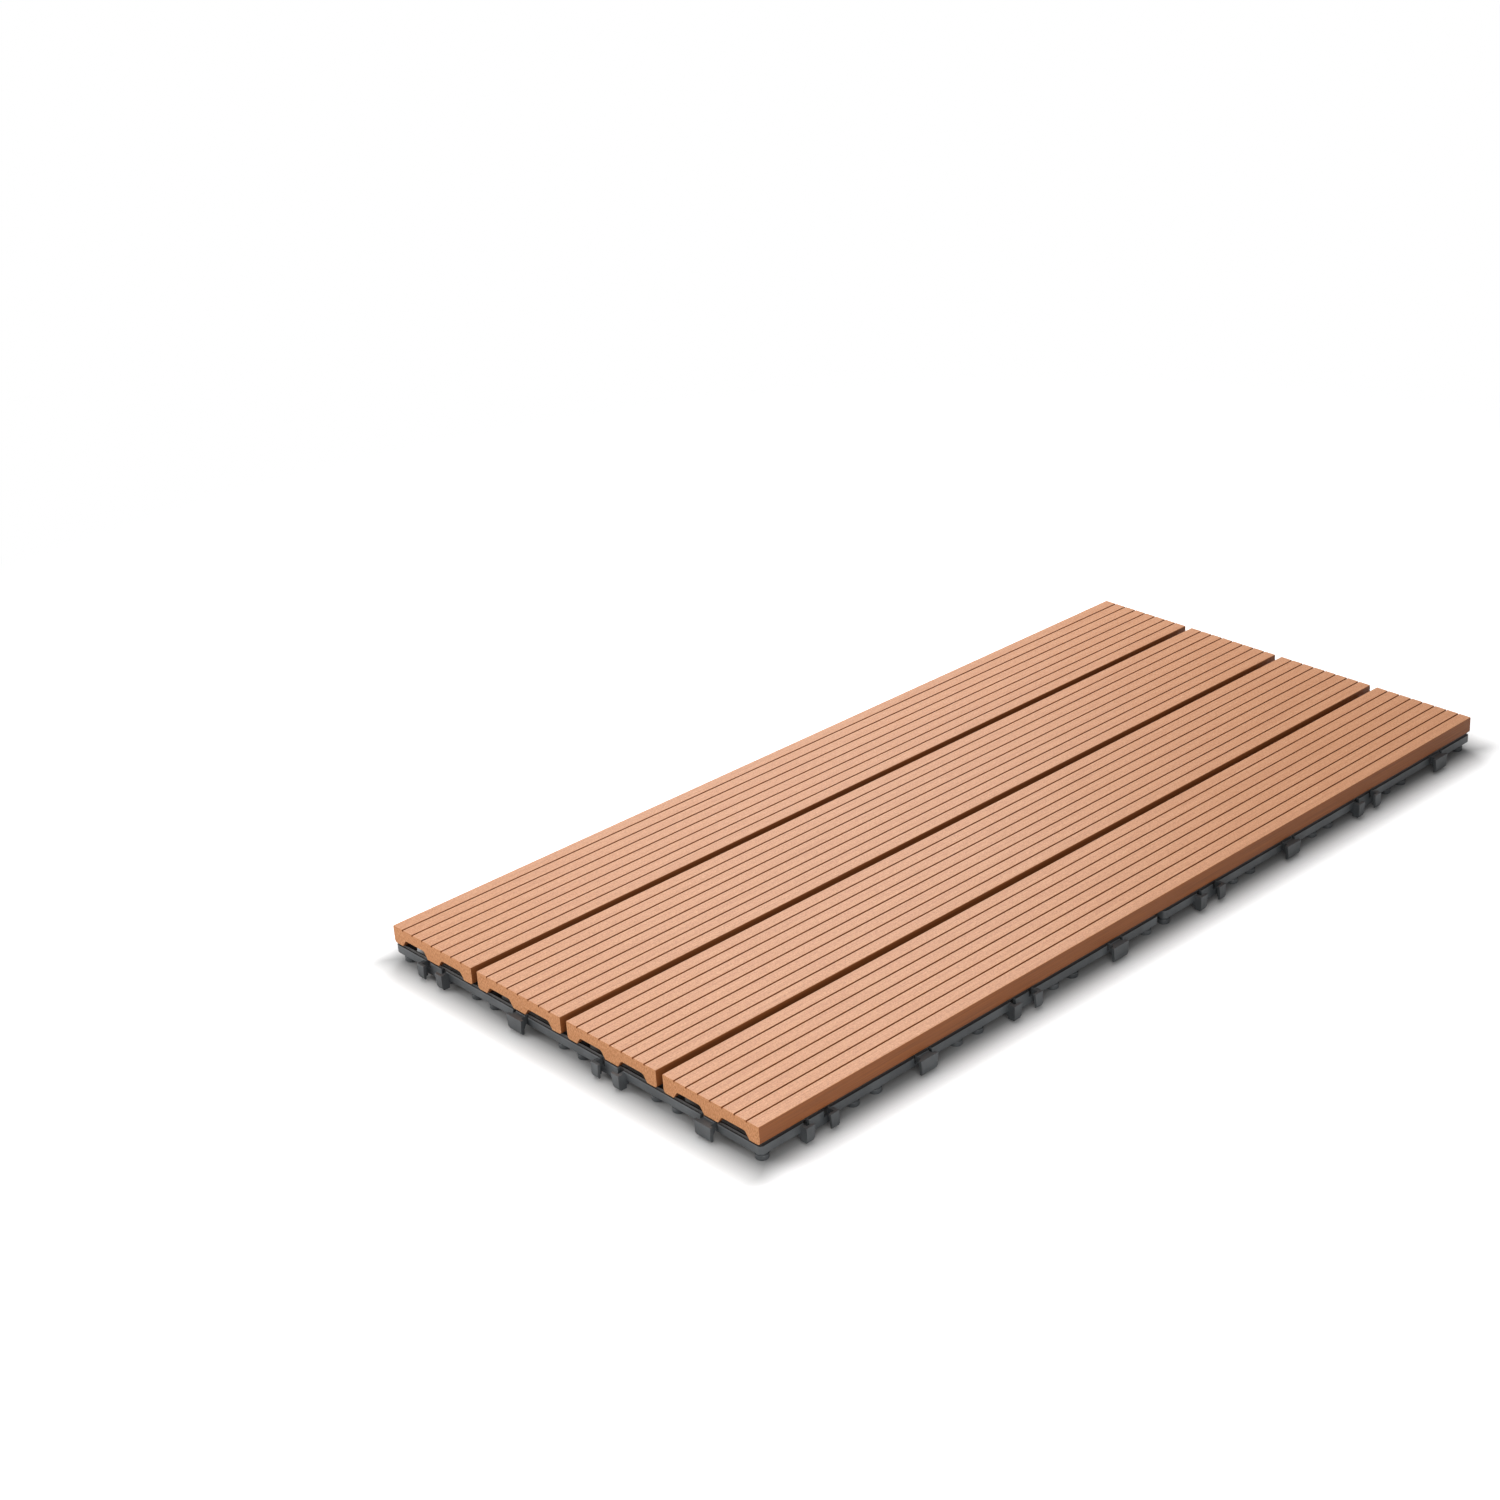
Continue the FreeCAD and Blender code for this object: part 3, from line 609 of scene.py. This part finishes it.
def screwShells(x, y, s):
    # Head: a dome z = wall + (top - wall)(1 - (r/R)^2)^(1/2), in which the two bars of a cross are sunk,
    # with a steep wall round them. Shank: radius = core + (crest - core) * tooth, where tooth is a peak in
    # the middle of each turn of z / pitch - angle; the whole tapers to the tip over the point.
    angle = np.linspace(0, 2 * np.pi, s["sides"], endpoint=False)
    share = np.linspace(1, s["pole"], s["headRings"])[:, None]
    radius = s["headRadius"] * share
    px, py = radius * np.cos(angle), radius * np.sin(angle)
    dome = s["headWall"] + (s["headTop"] - s["headWall"]) * np.sqrt(1 - share ** 2)
    bars = np.minimum(np.maximum(np.abs(px) - s["recessReach"], np.abs(py) - s["recessHalf"]),
                      np.maximum(np.abs(py) - s["recessReach"], np.abs(px) - s["recessHalf"]))
    sunk = s["recessDepth"] * np.clip(-bars / s["recessEdge"] + 0.5, 0, 1)
    head = np.stack([px, py, -np.maximum(dome - sunk, s["recessFloor"])], -1)
    collar = head[:1] * [1, 1, 0]
    headRings = np.concatenate([head[::-1], collar])

    z = np.linspace(0, s["length"], s["steps"])[:, None]
    phase = (z / s["pitch"] - angle / (2 * np.pi)) % 1
    tooth = np.clip(1 - np.abs(phase - 0.5) * s["toothSlope"], 0, 1)
    taper = np.clip((s["length"] - z) / s["point"], s["tip"], 1)
    r = (s["shank"] + (s["crest"] - s["shank"]) * tooth) * taper
    shank = np.stack(np.broadcast_arrays(r * np.cos(angle), r * np.sin(angle), z), -1)
    return [ringLoft((rings + [x, y, s["plate"]]) * mm) for rings in (headRings, shank)]


shells = []
for gridMiddle in (-gridShape["gridPitch"] / 2, gridShape["gridPitch"] / 2):
    for x in (gridMiddle - gridShape["side"] / 4, gridMiddle + gridShape["side"] / 4):
        for y in np.array(gridPlaces["slats"]) * gridShape["slatPitch"]:
            shells += screwShells(x, y, screwShape)
screws = makePiece("screws_threaded", shells, screwMaterial)
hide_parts("screws")
print("screws made", len(screws.data.polygons), "faces")


# Floor, light and camera

paperShade = {
    "size": 8,  # m
    "band": (-14, 30),  # mm, the band of painted shadow, from under the tile's edge to beside it
    "shade": (0.3, 1.45),  # the paper's white at either end of that band of painted shadow
    "sideways": 1.42, "inLight": 0.42,
    "far": (0.45, 0.9),  # m from the middle, where an even white begins and is full
}


def makePaper(p):
    # The paper is drawn up to white for the eye. A painted shadow darkens it under and close beside the
    # tile, and it is an even white further off. The distance beside the tile is the length of max(|p| -
    # half, 0), plus the greater of |x| - half and |y| - half where both are below 0. It counts for more off
    # the long sides, where the painted shadow is narrower.
    size = p["size"]
    mesh = bpy.data.meshes.new("floor")
    corners = [(-size, -size, 0), (size, -size, 0), (size, size, 0), (-size, size, 0)]
    mesh.from_pydata(corners, [], [(0, 1, 2, 3)])
    floor = bpy.data.objects.new("floor", mesh)
    bpy.context.scene.collection.objects.link(floor)
    material, tree = newMaterial("white paper sweep")
    mesh.materials.append(material)
    path = add(tree, "LightPath").outputs
    seen = add(tree, "Math", {0: path["Is Camera Ray"], 1: path["Is Glossy Ray"]}, operation="MAXIMUM")
    seen = add(tree, "Math", {0: seen, 1: path["Is Transmission Ray"]}, operation="MAXIMUM")

    place = add(tree, "TexCoord").outputs["Object"]
    past = add(tree, "VectorMath", {0: place}, operation="ABSOLUTE")
    past = add(tree, "VectorMath", {0: past, 1: cadHigh}, operation="SUBTRACT")
    past = add(tree, "VectorMath", {0: past, 1: (1, p["sideways"], 1)}, operation="MULTIPLY")
    sides = add(tree, "SeparateXYZ", {"Vector": past}).outputs
    inside = add(tree, "Math", {0: sides["X"], 1: sides["Y"]}, operation="MAXIMUM")
    inside = add(tree, "Math", {0: inside, 1: 0.0}, operation="MINIMUM")
    outside = add(tree, "VectorMath", {0: past, 1: (0, 0, 0)}, operation="MAXIMUM")
    outside = add(tree, "VectorMath", {0: outside}, operation="LENGTH").outputs["Value"]
    beside = add(tree, "Math", {0: inside, 1: outside}, operation="ADD")
    (start, end), (dark, pale) = p["band"], p["shade"]
    shade = {"Value": beside, "From Min": start * mm, "From Max": end * mm, "To Min": dark, "To Max": pale}
    # painted shadow on the paper: darkest under the tile's edge, lifting to beyond white beside it
    near = add(tree, "MapRange", shade, interpolation_type="SMOOTHSTEP")
    lit = add(tree, "Math", {0: near, 1: p["inLight"]}, operation="MULTIPLY")
    drawnUp = add(tree, "MapRange", {"Value": seen, "To Min": lit, "To Max": near})
    paper = add(tree, "BsdfDiffuse", {"Color": drawnUp})

    away = add(tree, "VectorMath", {0: place}, operation="LENGTH").outputs["Value"]
    fade = {"Value": away, "From Min": p["far"][0], "From Max": p["far"][1]}
    far = add(tree, "MapRange", fade, interpolation_type="SMOOTHSTEP")
    far = add(tree, "Math", {0: seen, 1: far}, operation="MULTIPLY")
    shader = add(tree, "MixShader", {0: far, 1: paper, 2: add(tree, "Emission", {"Strength": 1.0})})
    add(tree, "OutputMaterial", {"Surface": shader})
    return floor


floor = makePaper(paperShade)

studioLight = {"seen": 1.0, "light": 0.25, "ceiling": 0.2, "rise": (0.1, 0.4)}


def makeStudio(s):
    # White for the eye, and white in a gloss near the horizon, where the paper ends; the ceiling is dimmer.
    world = bpy.data.worlds.new("studio")
    bpy.context.scene.world = world
    world.use_nodes = True
    tree = world.node_tree
    tree.nodes.clear()
    path = add(tree, "LightPath").outputs
    rise = add(tree, "SeparateXYZ", {"Vector": add(tree, "TexCoord").outputs["Generated"]}).outputs["Z"]
    horizon, overhead = s["rise"]
    dimmer = {"From Min": horizon, "From Max": overhead, "To Min": s["seen"], "To Max": s["ceiling"]}
    ceiling = add(tree, "MapRange", {"Value": rise, **dimmer})
    gloss = add(tree, "Math", {0: path["Is Glossy Ray"], 1: ceiling}, operation="MULTIPLY")
    seen = add(tree, "Math", {0: path["Is Camera Ray"], 1: path["Is Transmission Ray"]}, operation="MAXIMUM")
    seen = add(tree, "Math", {0: seen, 1: gloss}, operation="MAXIMUM")
    strength = add(tree, "MapRange", {"Value": seen, "To Min": s["light"], "To Max": s["seen"]})
    sky = add(tree, "Background", {"Color": (1, 1, 1, 1), "Strength": strength})
    add(tree, "OutputWorld", {"Surface": sky})


makeStudio(studioLight)

# A window overhead, a softbox behind whose sheen falls on the left of the deck, and two that light its long
# side and its ends. Places and sizes are in metres.
sunSpread = math.radians(34)
lamps = {
    "window overhead": {"kind": "SUN", "place": (0.05, 0.16, 0.98), "energy": 0.95, "angle": sunSpread},
    "softbox behind": {"kind": "AREA", "place": (0.42, 0.62, 0.68), "energy": 4.6, "size": 0.65},
    "softbox at the left": {"kind": "AREA", "place": (-0.6, -0.7, 0.36), "energy": 4.0, "size": 0.7},
    "softbox at the ends": {"kind": "AREA", "place": (-0.85, 0.6, 0.36), "energy": 5.0, "size": 0.7},
}


def addLamp(name, kind, place, **settings):  # a lamp that faces the middle of the tile
    lamp = bpy.data.lights.new(name, kind)
    for key, value in settings.items():
        setattr(lamp, key, value)
    made = bpy.data.objects.new(name, lamp)
    bpy.context.scene.collection.objects.link(made)
    made.location = place
    made.rotation_euler = Vector(place).to_track_quat("Z", "Y").to_euler()


for name, values in lamps.items():
    addLamp(name, **values)

view = {
    "place": (-0.96228, -0.93694, 0.71233), "turn": (64.412, 2.1333, -45.4793),
    "lens": 62.42, "sensor": 36, "shift": (-0.1062, -0.0050), "clip": (0.05, 50),
}
camera = bpy.data.objects.new("camera", bpy.data.cameras.new("camera"))
bpy.context.scene.collection.objects.link(camera)
camera.location = view["place"]
camera.rotation_euler = [math.radians(angle) for angle in view["turn"]]
camera.data.lens = view["lens"]
camera.data.sensor_width = view["sensor"]
camera.data.shift_x, camera.data.shift_y = view["shift"]
camera.data.clip_start, camera.data.clip_end = view["clip"]
bpy.context.scene.camera = camera
bpy.context.scene.view_settings.view_transform = "Standard"
print("floor, light and camera made")
